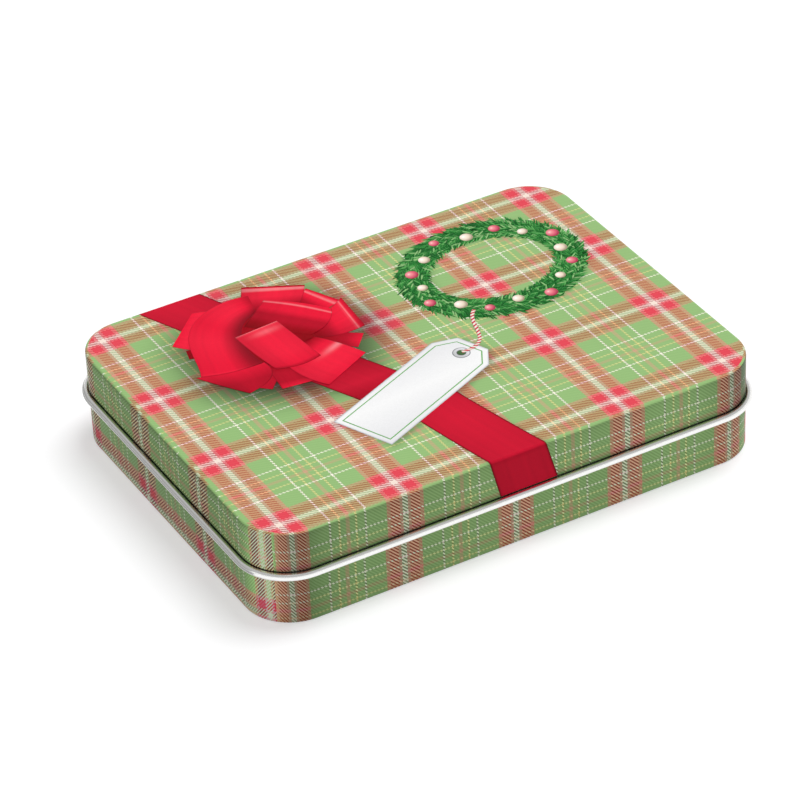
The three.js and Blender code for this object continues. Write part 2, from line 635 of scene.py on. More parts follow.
@dataclass
class Pan:
    """A drawn pan: one sheet that runs from its panel's middle out and along a bent section.

    Levels pair an angle round the middle, in degrees, with the light painted on the walls' print there:
    painted highlights and painted shade.
    Folds, slips and squeezes are in the order of Side: how far above the tin's top a wall's print
    folds over, how far it is moved along the wall, out of step with the panel's, and how much more
    of it goes round the side's corners than their own length.
    """

    sizes: TinSizes
    plan: Plan
    name: str = "pan"
    body: str = "body"
    outside: int = 1
    panel_rings: int = 2
    # Painted light: a painted highlight and painted shade round the front left corner, and a lighter left
    # wall
    wall_levels: tuple[Point, ...] = (
        (140, 1.0), (152, 1.07), (160, 1.03), (170, 1.02), (200, 1.0), (208, 1.02), (210, 1.1), (212, 1.28),
        (214, 1.5), (215.5, 1.38), (217, 1.0), (219, 0.85), (221, 0.79), (224, 0.91), (228, 0.97),
        (240, 0.96), (255, 0.99), (300, 1.0), (307, 1.04), (314, 1.02),
    )
    # Painted shade round the front right corner, here none
    right_corner_levels: tuple[Point, ...] = ((335, 1.0),)
    folds: tuple[float, ...] = (0.0, 0.0, 0.0, 0.0)
    slips: tuple[float, ...] = (0.0, 0.0, 0.0, 0.0)
    squeezes: tuple[float, ...] = (1.2, 1.2, 1.2, 1.3)
    object: bpy.types.Object | None = field(default=None, init=False)

    def walk(self) -> SheetWalk:
        """Returns the section's middle line."""
        raise NotImplementedError

    def light(self, places: Array) -> Array:
        """Returns the light painted on the print at rows of (x, y, z), here full everywhere."""
        return np.ones(len(places))

    def wall_light(self, places: Array) -> Array:
        """Works out the light painted round the walls: a gleam and a dark line on the front left corner.

        Args:
            places: Rows of (x, y, z).

        Returns:
            The linear light.
        """
        angles, levels = np.array(self.wall_levels + self.right_corner_levels).T
        around = np.degrees(np.arctan2(places[:, 1], places[:, 0])) % 360
        return np.interp(around, angles, levels) ** SCREEN_GAMMA

    def build(self, materials: list[bpy.types.Material]) -> bpy.types.Object:
        """Makes the closed sheet and dresses it.

        The outside runs from the panel's middle out and along the sheet, and the inside comes
        back, so the two close on each other at the sheet's edge and both shrink to a point at
        the middle.

        Args:
            materials: The materials in the order of Surface.

        Returns:
            The pan's object.
        """
        walk = self.walk()
        half = self.sizes.sheet / 2
        outer = self.plan.sweep(walk.face(self.outside * half))
        inner = self.plan.sweep(walk.face(-self.outside * half)[::-1])
        first, last = self.panel(outer[0], self.panel_rings), self.panel(inner[-1], 2)
        rings = np.concatenate([first, outer, inner, last[::-1]])
        rows, columns = rings.shape[:2]
        middles = np.array([[0, 0, outer[0, 0, 2]], [0, 0, inner[-1, 0, 2]]])
        points = np.concatenate([rings.reshape(-1, 3), middles])
        here = np.arange(columns)
        following = (here + 1) % columns
        start = np.arange(rows - 1)[:, None] * columns
        corners = [start + here, start + following, start + columns + following, start + columns + here]
        quads = np.stack(corners, axis=2).reshape(-1, 4)
        count, end = rows * columns, (rows - 1) * columns
        fans = np.concatenate([
            np.stack([np.full(columns, count), following, here], axis=1),
            np.stack([np.full(columns, count + 1), end + here, end + following], axis=1),
        ])
        if self.outside > 0:
            quads, fans = quads[:, ::-1], fans[:, ::-1]
        self.object = make_mesh(self.name, points, [*quads.tolist(), *fans.tolist()])
        self.dress(walk, points, quads, fans, len(first))
        for material in materials:
            self.object.data.materials.append(material)
        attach(self.object, self.body)
        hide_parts(self.body)
        return self.object

    @staticmethod
    def panel(edge: Array, count: int) -> Array:
        """Shrinks a ring towards the middle of its panel: ring i is the edge times i / count.

        Args:
            edge: The panel's outer ring.
            count: How many equal steps lie between the middle and the edge.

        Returns:
            The rings inside the edge, from the middle outwards.
        """
        rings = np.repeat(edge[None], count - 1, axis=0)
        rings[:, :, :2] *= (np.arange(1, count) / count)[:, None, None]
        return rings

    def dress(self, walk: SheetWalk, points: Array, quads: Array, fans: Array, panel_rows: int) -> None:
        """Gives the pan its material numbers, print map, and the picture's printed shade with the light and
        shade painted on the walls.

        On a panel the print's map is (x, y). On a wall one coordinate runs along the wall and the
        other goes on past the fold by the reach and the drop, so stripes fold over the edge. Round a
        corner the first is squeeze * R * angle, because drawing the pan squeezes its print there.

        Args:
            walk: The section.
            points: The pan's points.
            quads: The faces between its rings.
            fans: The triangles round its two middles.
            panel_rows: How many rings lie inside the first panel's edge.
        """
        columns = len(self.plan.centres)
        rows = len(quads) // columns
        shown = np.full(rows, Surface.BARE.value)
        shown[:panel_rows] = walk.surfaces[0]
        shown[panel_rows:panel_rows + len(walk.surfaces)] = walk.surfaces
        ends = np.repeat([walk.surfaces[0], Surface.BARE.value], columns)
        mesh = self.object.data
        mesh.polygons.foreach_set("material_index", np.concatenate([np.repeat(shown, columns), ends]))
        outer = walk.face(self.outside * self.sizes.sheet / 2)[:, 0]
        reach = np.zeros(rows + 1)
        reach[panel_rows:panel_rows + len(outer)] = outer
        reach = np.concatenate([np.repeat(reach, columns), np.zeros(2)])
        placed = points[quads][:, :, :2]
        sides = np.tile(self.plan.sides(), rows)
        on_wall = np.repeat(np.arange(rows) >= panel_rows, columns)
        for number, side in enumerate(Side):
            chosen = on_wall & (sides == number)
            corners = quads[chosen]
            axis = 0 if side.value[0] else 1
            half = (self.sizes.length, self.sizes.width)[axis] / 2
            fold = self.sizes.top + self.folds[number]
            depth = half + reach[corners] + fold - points[corners][:, :, 2]
            placed[chosen, :, axis] = depth * side.value[axis]
            spot = corners % columns
            turn = np.arcsin(self.plan.normals[spot, 1 - axis])
            along = self.plan.centres[spot, 1 - axis] + self.squeezes[number] * self.plan.radius * turn
            placed[chosen, :, 1 - axis] = along + self.slips[number]
        layer = mesh.uv_layers.new(name="print")
        flat = np.concatenate([placed.reshape(-1, 2), points[fans][:, :, :2].reshape(-1, 2)])
        layer.data.foreach_set("uv", flat.ravel())
        # The printed shade of the picture, and the painted light and shade of the walls
        shade = np.ones((len(points), 4), np.float32)
        shade[:, :3] = self.light(points)[:, None]
        mesh.attributes.new("print_and_painted_shade", "FLOAT_COLOR", "POINT").data.foreach_set("color", shade.ravel())
        crisp = (np.abs(points[:, 2] - points[0, 2]) > self.sizes.lid_bend / 2).astype(float)
        mesh.attributes.new("print_crispness", "FLOAT", "POINT").data.foreach_set("value", crisp)


@dataclass
class Tray(Pan):
    """The lower pan: a raised floor on a flat foot, straight walls and an outward rolled rim.

    The foot's gleam, a painted highlight, has a strength, a height and a spread.
    """

    name: str = "tray_shell"
    body: str = "tray"
    outside: int = -1
    # A painted highlight along the foot of the left wall
    foot_gleam: tuple[float, float, float] = (0.9, 0.3, 0.35)
    folds: tuple[float, ...] = (-14.0, 0.0, 0.0, -0.3)
    slips: tuple[float, ...] = (1.4, 1.0, 1.0, 4.1)
    # Painted shade round the front right corner
    right_corner_levels: tuple[Point, ...] = ((319, 0.97), (323, 0.96), (328, 1.0))

    def walk(self) -> SheetWalk:
        """Returns the section, from the floor over the foot and up into the rolled rim."""
        sizes = self.sizes
        turn = step_turn(sizes.floor_rise, sizes.floor_bend)
        step = 2 * sizes.floor_bend * math.sin(math.radians(turn))
        start = -sizes.foot_bend - sizes.foot_width - step
        rim_radius = (sizes.rim_diameter - sizes.sheet) / 2
        edge = (sizes.rim_slit - (rim_radius - sizes.sheet / 2)) / (sizes.rim_diameter / 2)
        return (
            SheetWalk(start, sizes.floor_rise + sizes.sheet / 2, 0, Surface.BARE)
            .bend(sizes.floor_bend, -turn)
            .bend(sizes.floor_bend, turn)
            .run(sizes.foot_width)
            .shows(Surface.PRINTED)
            .bend(sizes.foot_bend - sizes.sheet / 2, 90)
            .run(sizes.rim_height - sizes.foot_bend, 6)
            .shows(Surface.BARE)
            .bend(rim_radius, -180 - math.degrees(math.acos(edge)))
        )

    def light(self, places: Array) -> Array:
        """Returns the light painted on the walls' print, with a painted highlight along the foot of the left
        one.

        Args:
            places: Rows of (x, y, z).
        """
        # A painted highlight at the foot, times the painted light and shade round the corners
        strength, height, spread = self.foot_gleam
        left = places[:, 0] < -self.sizes.length / 2 + self.sizes.foot_bend
        foot = 1 + np.where(left, strength, 0.0) * np.exp(-(((places[:, 2] - height) / spread) ** 2))
        return foot * self.wall_light(places)


@dataclass
class Lid(Pan):
    """The upper pan: a flat top, straight walls that stand above the rim and a plug that fits in it.

    The lines of painted shade under its fold each have a strength and a reach.
    """

    name: str = "lid_shell"
    body: str = "lid"
    panel_rings: int = 56
    shade: CastShade | None = None
    # Heights of the rows that hold the painted shade above the rim and under the fold
    edge_shade: float = 1.8
    fold_shade: float = 2.0
    folds: tuple[float, ...] = (-0.35, 0.0, 0.0, 1.1)
    slips: tuple[float, ...] = (0.45, 0.0, 0.0, 2.6)
    # Lines of painted shade under the fold: strength and reach, on the left and elsewhere
    left_line: Point = (0.38, 1.1)
    other_line: Point = (0.14, 1.5)
    # Painted shade above the rim: its darkest level and how it fades upwards
    rim_level: float = 0.5
    rim_power: float = 0.7
    # Painted shade round the front right corner
    right_corner_levels: tuple[Point, ...] = (
        (317, 0.95), (319, 0.86), (321, 0.7), (323, 0.62), (328, 0.9), (335, 1.0),
    )

    def walk(self) -> SheetWalk:
        """Returns the section, from the top down the wall to the hem of the plug."""
        sizes = self.sizes
        rim_middle = sizes.rim_diameter / 2 - sizes.sheet
        shoulder_reach = -sizes.sheet / 2 - sizes.shoulder_bend
        seat = sizes.rim_diameter / 2 + sizes.seat_gap + sizes.shoulder_bend + sizes.sheet / 2
        shoulder = sizes.rim_height + math.sqrt(seat**2 - (rim_middle - shoulder_reach) ** 2)
        turn = step_turn(sizes.sheet + sizes.plug_clearance, sizes.shoulder_bend)
        plug_top = shoulder - 2 * sizes.shoulder_bend * math.sin(math.radians(turn))
        hem = sizes.plug_bottom + sizes.hem_diameter / 2
        return (
            SheetWalk(-sizes.lid_bend, sizes.top - sizes.sheet / 2, 0, Surface.PRINTED)
            .bend(sizes.lid_bend - sizes.sheet / 2, -90)
            .run(self.fold_shade, 10)
            .run(sizes.top - sizes.lid_bend - shoulder - self.fold_shade - self.edge_shade, 5)
            .run(self.edge_shade, 8)
            .bend(sizes.shoulder_bend, -turn)
            .shows(Surface.BARE)
            .bend(sizes.shoulder_bend, turn)
            .run(plug_top - hem)
            .bend((sizes.hem_diameter - sizes.sheet) / 2, -sizes.hem_turn)
        )

    def light(self, places: Array) -> Array:
        """Returns the picture's printed shade on top, and the light painted on the walls: lines of painted
        shade and the painted light round the corners.

        One line of painted shade lies above the rim, and one under the fold, darkest on the left.

        Args:
            places: Rows of (x, y, z).
        """
        # Painted shade on the walls: darker towards the rim, and lines under the fold
        high = places[:, 2] > self.sizes.top - self.sizes.lid_bend / 2
        drop = np.clip((places[:, 2] - self.sizes.rim_top) / self.edge_shade, 0, 1)
        left = places[:, 0] < -self.sizes.length / 2 + self.sizes.lid_bend
        strength, reach = np.where(left[:, None], self.left_line, self.other_line).T
        under = 1 - strength * np.exp(-(((self.sizes.top - places[:, 2]) / reach) ** 2))
        rim = self.rim_level + (1 - self.rim_level) * drop**self.rim_power
        return np.where(high, self.shade.at(places[:, :2]), rim * under * self.wall_light(places))


def smooth_line(points: tuple[Point, ...], shares: Array) -> Array:
    """A smooth line through a few points: each coordinate is one polynomial of the chord length.

    Args:
        points: The points in order.
        shares: Places on the line from zero to one, of any shape.

    Returns:
        The places, with one more axis for (x, y).
    """
    stops = np.array(points, float)
    lengths = np.concatenate([[0], np.cumsum(np.linalg.norm(np.diff(stops, axis=0), axis=1))])
    fits = [np.polynomial.Polynomial.fit(lengths, column, len(stops) - 1) for column in stops.T]
    return np.stack([fit(shares * lengths[-1]) for fit in fits], axis=-1)


def crowded(steps: int) -> Array:
    """Returns shares from zero to one that crowd towards both: (1 - cos(pi i / steps)) / 2."""
    return 0.5 - 0.5 * np.cos(np.linspace(0, math.pi, steps + 1))


def disc(across: Array, along: Array) -> Array:
    """Turns a square of -1 to 1 into a disc: (a, b) goes to (a sqrt(1 - b^2 / 2), b sqrt(1 - a^2 / 2)).

    Args:
        across: The square's first coordinates.
        along: Its second ones.

    Returns:
        Places in the disc of radius one, with one more axis for (x, y).
    """
    return np.stack([across * np.sqrt(1 - along**2 / 2), along * np.sqrt(1 - across**2 / 2)], axis=-1)


def ink_of(code: str) -> Array:
    """Returns the linear red, green and blue of an sRGB hex colour."""
    return np.array(linear(code)[:3])


def blend_inks(inks: Ramp, shares: Array) -> Array:
    """Mixes inks along a share, in straight lines between their stops.

    Args:
        inks: Pairs of a place and an sRGB hex colour.
        shares: The places to mix for.

    Returns:
        Linear colours, with one more axis for red, green and blue.
    """
    places = [place for place, _ in inks]
    colors = np.array([ink_of(code) for _, code in inks])
    return np.stack([np.interp(shares, places, channel) for channel in colors.T], axis=-1)


@dataclass(frozen=True)
class Stroke:
    """One painted stretch of ribbon or card between two side lines, from its root to its tip.

    Its point at shares (u, v) is left(v) (1 - u) + right(v) u, and the tip stands out in the
    middle by swell * sin(pi u) * v^3 along the stretch. A gleam has two shares and a strength, and
    its reach is in shares too.
    """

    left: tuple[Point, ...]
    right: tuple[Point, ...]
    inks: Ramp
    dark_left: float = 0.0
    dark_right: float = 0.0
    swell: float = 0.0
    slant: float = 0.0
    outline: float = 0.35
    outline_width: float = 0.2
    streak: float = 0.02
    gleam: tuple[float, float, float] = (0.0, 0.0, 0.0)
    gleam_reach: Point = (0.3, 0.06)
    gleam_ink: str = "F78F96"

    def place(self, across: Array, along: Array) -> Array:
        """Works out the stroke's points.

        Args:
            across: Shares from the left side to the right.
            along: Shares from the root to the tip.

        Returns:
            The points, with one more axis for (x, y).
        """
        left, right = smooth_line(self.left, along), smooth_line(self.right, along)
        flat = left * (1 - across[..., None]) + right * across[..., None]
        root, tip = (np.add(self.left[end], self.right[end]) / 2 for end in (0, -1))
        forward = (tip - root) / np.linalg.norm(tip - root)
        return flat + (self.swell * np.sin(math.pi * across) * along**3)[..., None] * forward

    def ink(self, across: Array, along: Array) -> Array:
        """Works out the stroke's colours: inks along it, darker by its sides, with a thin outline.

        A side's shade is s^2 (3 - 2 s), where s falls from one at the side to zero in the middle.
        Satin streaks run along the stroke: 1 + streak * (sin(31 u + 4 v) + sin(53 u - 3 v)).

        Args:
            across: Shares from the left side to the right.
            along: Shares from the root to the tip.

        Returns:
            Linear colours.
        """
        colors = blend_inks(self.inks, np.clip(along + self.slant * (across - 0.5), 0, 1))
        middle, place, strength = self.gleam
        wide, long = self.gleam_reach
        shine = strength * np.exp(-(((across - middle) / wide) ** 2) - ((along - place) / long) ** 2)
        colors = colors + (ink_of(self.gleam_ink) - colors) * shine[..., None]
        left, right = np.clip(1 - 2 * across, 0, 1), np.clip(2 * across - 1, 0, 1)
        level = 1 - self.dark_left * left**2 * (3 - 2 * left)
        level *= 1 - self.dark_right * right**2 * (3 - 2 * right)
        root_width, tip_width = (
            np.linalg.norm(np.subtract(self.left[end], self.right[end])) for end in (0, -1)
        )
        width = root_width * (1 - along) + tip_width * along
        edge = np.minimum(across, 1 - across) * width
        level *= 1 - self.outline * np.exp(-((edge / self.outline_width) ** 2))
        level *= 1 + self.streak * (np.sin(31 * across + 4 * along) + np.sin(53 * across - 3 * along))
        return colors * level[..., None]


@dataclass
class PrintedPicture:
    """A part of the picture as one thin closed film of ink on the lid, laid in slabs.

    Slabs are as thick as the thickness, and their tops lie one layer apart.

    The film follows the lid over its front and back folds: a place beyond the top's flat part goes
    round the fold's quarter circle and then down the wall by its length.
    """

    sizes: TinSizes
    name: str
    first_layer: int
    layer: float = 0.009
    thickness: float = 0.006
    points: list[Array] = field(default_factory=list)
    inks: list[Array] = field(default_factory=list)
    faces: list[Array] = field(default_factory=list)
    count: int = 0

    def drape(self, flat: Array, height: float) -> Array:
        """Lays places of the flat print on the lid.

        Args:
            flat: Places, with a last axis for (x, y).
            height: How far above the sheet they lie.

        Returns:
            The places with a last axis for (x, y, z).
        """
        bend = self.sizes.lid_bend
        edge = self.sizes.width / 2 - bend
        beyond = np.maximum(np.abs(flat[..., 1]) - edge, 0)
        angle = np.minimum(beyond / bend, math.pi / 2)
        down = np.maximum(beyond - bend * math.pi / 2, 0)
        reach = np.minimum(np.abs(flat[..., 1]), edge) + (bend + height) * np.sin(angle)
        z = self.sizes.top - bend + (bend + height) * np.cos(angle) - down
        return np.stack([flat[..., 0], np.sign(flat[..., 1]) * reach, z], axis=-1)

    def lay(self, flat: Array, ink: Array, layer: float) -> None:
        """Adds one closed slab: its top and underside as grids, and a strip round its border.

        Args:
            flat: A grid of places, of shape (rows, columns, 2).
            ink: Their linear colours.
            layer: Which layer the slab lies in.
        """
        edges = flat[1:, :-1] - flat[:-1, :-1], flat[:-1, 1:] - flat[:-1, :-1]
        if np.sum(edges[0][..., 0] * edges[1][..., 1] - edges[0][..., 1] * edges[1][..., 0]) > 0:
            flat, ink = flat[:, ::-1], ink[:, ::-1]
        rows, columns = flat.shape[:2]
        height = (self.first_layer + layer + 1) * self.layer
        numbers = np.arange(rows * columns).reshape(rows, columns)
        top = [numbers[:-1, :-1], numbers[:-1, 1:], numbers[1:, 1:], numbers[1:, :-1]]
        top = np.stack(top, axis=-1).reshape(-1, 4)
        border = np.concatenate([numbers[0, :-1], numbers[:-1, -1], numbers[-1, :0:-1], numbers[:0:-1, 0]])
        following = np.roll(border, -1)
        under = rows * columns
        strip = np.stack([border, border + under, following + under, following], axis=1)
        self.faces.append(np.concatenate([top[:, ::-1], top + under, strip[:, ::-1]])[:, ::-1] + self.count)
        self.points += [
            self.drape(flat, height).reshape(-1, 3),
            self.drape(flat, height - self.thickness).reshape(-1, 3),
        ]
        self.inks += [ink.reshape(-1, 3)] * 2
        self.count += 2 * under

    def build(self, material: bpy.types.Material) -> bpy.types.Object:
        """Makes the film, which rides on the lid.

        Args:
            material: The ink.

        Returns:
            The film's object.
        """
        piece = make_mesh(self.name, np.concatenate(self.points), np.concatenate(self.faces).tolist())
        inks = np.concatenate(self.inks)
        colors = np.ones((len(inks), 4), np.float32)
        colors[:, :3] = inks
        piece.data.attributes.new("ink", "FLOAT_COLOR", "POINT").data.foreach_set("color", colors.ravel())
        piece.data.materials.append(material)
        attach(piece, "lid")
        return piece


@dataclass(frozen=True)
class Motif:
    """A motif of the picture on the lid: its film of ink, and the shades it casts on the plaid.

    A shade has a shift, a spread and a strength. A motif of strokes has them round its centre, on
    grids of so many steps across and along them.
    """

    sizes: TinSizes
    name: str
    first_layer: int = 0
    shades: tuple[Shade, ...] = ()
    centre: Point = (0, 0)
    steps_across: int = 24
    steps: int = 32

    def strokes(self) -> list[Stroke]:
        """Returns the motif's strokes from the lowest up, if it has any."""
        return []

    def shapes(self) -> list[Shape]:
        """Returns the outlines that cast its shades."""
        return [lambda u, v, stroke=stroke: stroke.place(u, v) + self.centre for stroke in self.strokes()]

    def draw(self, picture: PrintedPicture) -> None:
        """Lays the strokes one above the other on grids that crowd towards their borders.

        Args:
            picture: The film to lay them on.
        """
        across, along = np.meshgrid(crowded(self.steps_across), crowded(self.steps))
        for number, stroke in enumerate(self.strokes()):
            picture.lay(stroke.place(across, along) + self.centre, stroke.ink(across, along), number)

    def film(self, ink: bpy.types.Material) -> bpy.types.Object:
        """Makes the motif's film.

        Args:
            ink: The film's ink.

        Returns:
            The film's object.
        """
        picture = PrintedPicture(self.sizes, self.name, self.first_layer)
        self.draw(picture)
        return picture.build(ink)


@dataclass(frozen=True)
class GiftRibbon(Motif):
    """The painted ribbon: one stretch from the back wall to the tag, one on over the front wall."""

    name: str = "ribbon_print"
    shades: tuple[Shade, ...] = (((0, 0), 0.5, 0.25),)
    steps: int = 400
    wall: float = 11.5
    deep: str = "A4021E"
    red: str = "C91430"
    bright: str = "D01632"
    # Painted light: the ribbon's red drawn lighter where it runs down the front wall
    wall_lit_red: str = "DA1B37"

    def strokes(self) -> list[Stroke]:
        """Returns the two stretches."""
        edge = self.sizes.width / 2
        back = edge + self.wall
        upper = Stroke(
            ((-59.8, back), (-54.9, edge), (-22.0, -17.5)), ((-40.5, back), (-36.0, edge), (-3.6, -17.5)),
            (
                (0, self.red), (0.12, self.bright), (0.24, self.red), (0.42, self.deep), (0.72, self.deep),
                (0.86, self.red), (0.95, self.deep), (1, self.deep),
            ),
            dark_left=0.1, dark_right=0.1, outline=0.85, outline_width=0.36,
        )
        lower = Stroke(
            ((-17.4, -20.5), (-9.9, -edge), (-7.0, -back)), ((-1.0, -20.5), (7.3, -edge), (10.5, -back)),
            (
                (0, self.deep), (0.1, self.red), (0.3, self.bright), (0.6, self.red), (0.75, self.red),
                # Lighter red on the front wall: painted light
                (0.79, self.wall_lit_red), (1, self.wall_lit_red),
            ),
            dark_left=0.1, dark_right=0.06, outline=0.85, outline_width=0.36,
        )
        return [upper, lower]


@dataclass(frozen=True)
class GiftBow(Motif):
    """The painted bow: flat satin loops round a dark middle, each a stroke in the bow's own frame."""

    name: str = "bow_print"
    first_layer: int = 2
    shades: tuple[Shade, ...] = (((-4.0, -3.9), 5.1, 0.84), ((3.7, -5.4), 4.1, 0.66))
    centre: Point = (-28.8, 25.9)
    steps: int = 72
    hollow: str = "88000D"
    dark: str = "9B0015"
    deep: str = "B60A26"
    mid: str = "E71636"
    bright: str = "EE1F3C"
    light: str = "F14556"
    glint: str = "F37E84"

    def strokes(self) -> list[Stroke]:
        """Returns the loops from the lowest up."""
        return [
            Stroke(
                ((-10.0, 0.0), (-21.5, 6.4), (-25.4, 10.9)), ((0.0, 14.0), (-7.0, 20.0), (-13.2, 22.6)),
                ((0, self.dark), (0.5, self.mid), (0.85, self.bright), (1, self.mid)),
            ),
            Stroke(
                ((-14.0, 0.5), (-24.3, 2.8)), ((-14.0, 6.0), (-23.2, 7.0)),
                ((0, self.hollow), (1, self.hollow)),
            ),
            Stroke(
                ((13.5, 12.5), (18.9, 16.3)), ((15.0, 2.5), (24.0, 5.8)),
                (
                    (0, self.dark), (0.3, self.deep), (0.55, self.mid), (0.7, self.bright),
                    (0.78, self.glint), (0.86, self.light), (0.92, self.mid), (1, self.deep),
                ),
            ),
            Stroke(
                ((10.0, -3.0), (21.4, -11.8)), ((7.5, -8.5), (16.8, -17.0)),
                ((0, self.hollow), (0.35, self.dark), (0.7, self.deep), (1, self.mid)),
                dark_left=0.1, dark_right=0.3,
            ),
            Stroke(
                ((8.6, 1.0), (18.5, 3.4), (24.8, 7.0)), ((7.0, -5.5), (15.0, -8.8), (23.6, -8.7)),
                (
                    (0, self.hollow), (0.25, self.dark), (0.42, self.deep), (0.58, self.mid),
                    (0.82, self.bright), (0.87, self.light), (0.885, self.glint), (0.905, self.light),
                    (0.92, self.mid), (1, self.deep),
                ),
                dark_right=0.25,
            ),
            Stroke(
                ((-3.1, 13.5), (1.6, 22.0), (4.1, 26.5)), ((12.0, 9.0), (17.2, 14.4), (19.5, 18.0)),
                (
                    (0, self.hollow), (0.28, self.deep), (0.6, self.bright), (0.80, self.bright),
                    (0.86, self.glint), (0.92, self.glint), (0.95, self.mid), (0.975, self.dark),
                    (1, self.deep),
                ),
                dark_left=0.25, dark_right=0.1,
            ),
            Stroke(
                ((-8.0, -11.0), (-15.4, -19.0)), ((-5.0, -14.5), (-12.2, -22.0)),
                ((0, self.dark), (0.6, self.deep), (1, self.deep)),
            ),
            Stroke(
                ((-8.6, -11.5), (-9.9, -23.2)), ((-1.0, -15.0), (-0.6, -24.4)),
                ((0, self.dark), (0.35, self.deep), (0.75, self.deep), (1, self.mid)),
                dark_left=0.1, dark_right=0.3,
            ),
            Stroke(
                ((-27.0, -6.3), (-22.6, -13.7), (-18.2, -20.4)),
                ((-8.2, -8.6), (-8.0, -14.0), (-15.0, -19.6)),
                ((0, self.mid), (0.55, self.deep), (0.8, self.deep), (1, self.deep)),
                dark_left=0.25, dark_right=0.1, outline=0.5,
            ),
            Stroke(
                ((0.5, 14.5), (-8.2, 4.5), (-9.2, -9.6)), ((6.0, 12.0), (9.0, 3.0), (9.6, -6.0)),
                ((0, self.hollow), (0.3, self.dark), (0.6, self.dark), (1, self.hollow)),
                outline=0.0,
            ),
            Stroke(
                ((3.6, 21.6), (-8.5, 21.4), (-18.2, 14.6), (-22.8, 3.6), (-25.7, -6.6)),
                ((1.6, 12.4), (-4.2, 9.6), (-7.7, 3.4), (-8.8, -2.6), (-8.4, -9.6)),
                (
                    (0, self.deep), (0.07, self.mid), (0.14, self.bright), (0.24, self.bright),
                    (0.4, self.mid), (0.6, self.bright), (0.9, self.mid), (0.97, self.mid),
                    (0.985, self.bright), (1, self.deep),
                ),
                dark_left=0.1, dark_right=0.7, swell=1.2, outline=0.1,
            ),
            Stroke(
                ((-3.6, -11.0), (-3.0, -19.0), (1.4, -28.4)), ((9.3, -6.0), (13.8, -13.0), (17.2, -20.4)),
                (
                    (0, self.dark), (0.25, self.mid), (0.5, self.bright), (0.8, self.bright),
                    (1, self.mid),
                ),
                dark_left=0.2, gleam=(0.95, 0.46, 0.8),
            ),
            Stroke(
                ((-4.6, 8.6), (6.3, 17.4)), ((8.7, -4.8), (15.6, -2.3), (19.9, 3.4)),
                (
                    (0, self.hollow), (0.18, self.dark), (0.36, self.deep), (0.52, self.deep),
                    (0.7, self.mid), (0.88, self.mid), (0.91, self.glint), (0.94, self.light),
                    (0.96, self.mid), (1, self.mid),
                ),
                dark_left=0.15, swell=0.9, slant=0.08,
            ),
            Stroke(
                ((-9.1, 5.2), (-8.4, -4.0), (-6.9, -14.3)), ((4.4, 6.3), (5.4, -4.0), (6.4, -15.0)),
                (
                    (0, self.glint), (0.015, self.light), (0.05, self.bright), (0.7, self.bright),
                    (0.93, self.mid), (0.99, self.deep), (1, self.dark),
                ),
                dark_left=0.25, dark_right=0.1, swell=1.4, outline=0.3, gleam=(0.62, 0.12, 0.4),
            ),
        ]


@dataclass(frozen=True)
class BlankTag(Motif):
    """A painted gift tag of pale card with cut corners, an eyelet and no writing."""

    name: str = "tag_print"
    first_layer: int = 2
    shades: tuple[Shade, ...] = (((0.5, -0.9), 0.8, 0.45),)
    centre: Point = (-8.0, -16.6)
    tilt: float = 24.0
    length: float = 50.0
    width: float = 19.0
    cut: float = 6.0
    cut_slope: float = 0.75
    edge_width: float = 0.35
    line_insets: Point = (1.6, 1.95)
    card: str = "E4E4E6"
    fold: str = "F4F4F4"
    edge: str = "BEBFC4"
    line: str = "6FAE63"
    eyelet_inset: float = 5.4
    eyelet_tones: Point = (0.75, 1.1)
    eyelet: Ramp = ((2.5, "9A9CA0"), (2.2, "D9DADC"), (1.35, "7B7D80"), (1.15, "4F6E45"))

    def turned(self, flat: Array) -> Array:
        """Turns places of the tag's own frame onto the lid.

        Args:
            flat: Places along and across the tag.

        Returns:
            Their places on the lid.
        """
        angle = math.radians(self.tilt)
        turn = np.array([[math.cos(angle), math.sin(angle)], [-math.sin(angle), math.cos(angle)]])
        return flat @ turn + self.centre

    def card_shape(self, inset: float, across: Array, along: Array) -> Array:
        """The card's outline: a rectangle whose corners are cut at a slope m at its eyelet end.

        Moved in by d, a straight side moves by d and a cut by sqrt(1 + m^2) d across the card.

        Args:
            inset: How far inside the card's edge the shape lies.
            across: Shares across the card.
            along: Shares from its plain end to its eyelet end.

        Returns:
            The places on the lid.
        """
        reach = self.length / 2 - inset
        x = reach * (2 * along - 1)
        back = self.cut_slope * (x - self.length / 2 + self.cut)
        cut = self.width / 2 - math.hypot(1, self.cut_slope) * inset - back
        half = np.minimum(self.width / 2 - inset, cut)
        return self.turned(np.stack([x, (2 * across - 1) * half], axis=-1))

    def shapes(self) -> list[Shape]:
        """Returns the card, which casts the tag's painted shade."""
        return [lambda across, along: self.card_shape(0, across, along)]

    def draw(self, picture: PrintedPicture) -> None:
        """Lays the tag's card, its printed border line and its eyelet.

        Args:
            picture: The film to lay them on.
        """
        crowd = crowded(30)
        across, along = np.meshgrid(crowd, np.unique(np.concatenate([crowd, np.linspace(0.85, 1, 25)])))
        side = np.minimum(across, 1 - across) * self.width
        end = np.minimum(along, 1 - along) * self.length
        rim = np.exp(-((np.minimum(side, end) / self.edge_width) ** 2))[..., None]
        shade = blend_inks(((0, self.card), (0.5, self.fold), (1, self.card)), (along + across) / 2)
        picture.lay(self.card_shape(0, across, along), shade * (1 - rim) + ink_of(self.edge) * rim, 0)
        plain = np.ones(across.shape)[..., None]
        for layer, (inset, ink) in enumerate(zip(self.line_insets, (plain * ink_of(self.line), shade)), 1):
            picture.lay(self.card_shape(inset, across, along), ink, layer)
        tone = np.interp(across, (0, 1), self.eyelet_tones)[..., None]
        middle = np.array([self.length / 2 - self.eyelet_inset, 0])
        for layer, (radius, code) in enumerate(self.eyelet, 3):
            ring = disc(2 * across - 1, 2 * along - 1) * radius
            picture.lay(self.turned(ring + middle), plain * ink_of(code) * tone, layer)


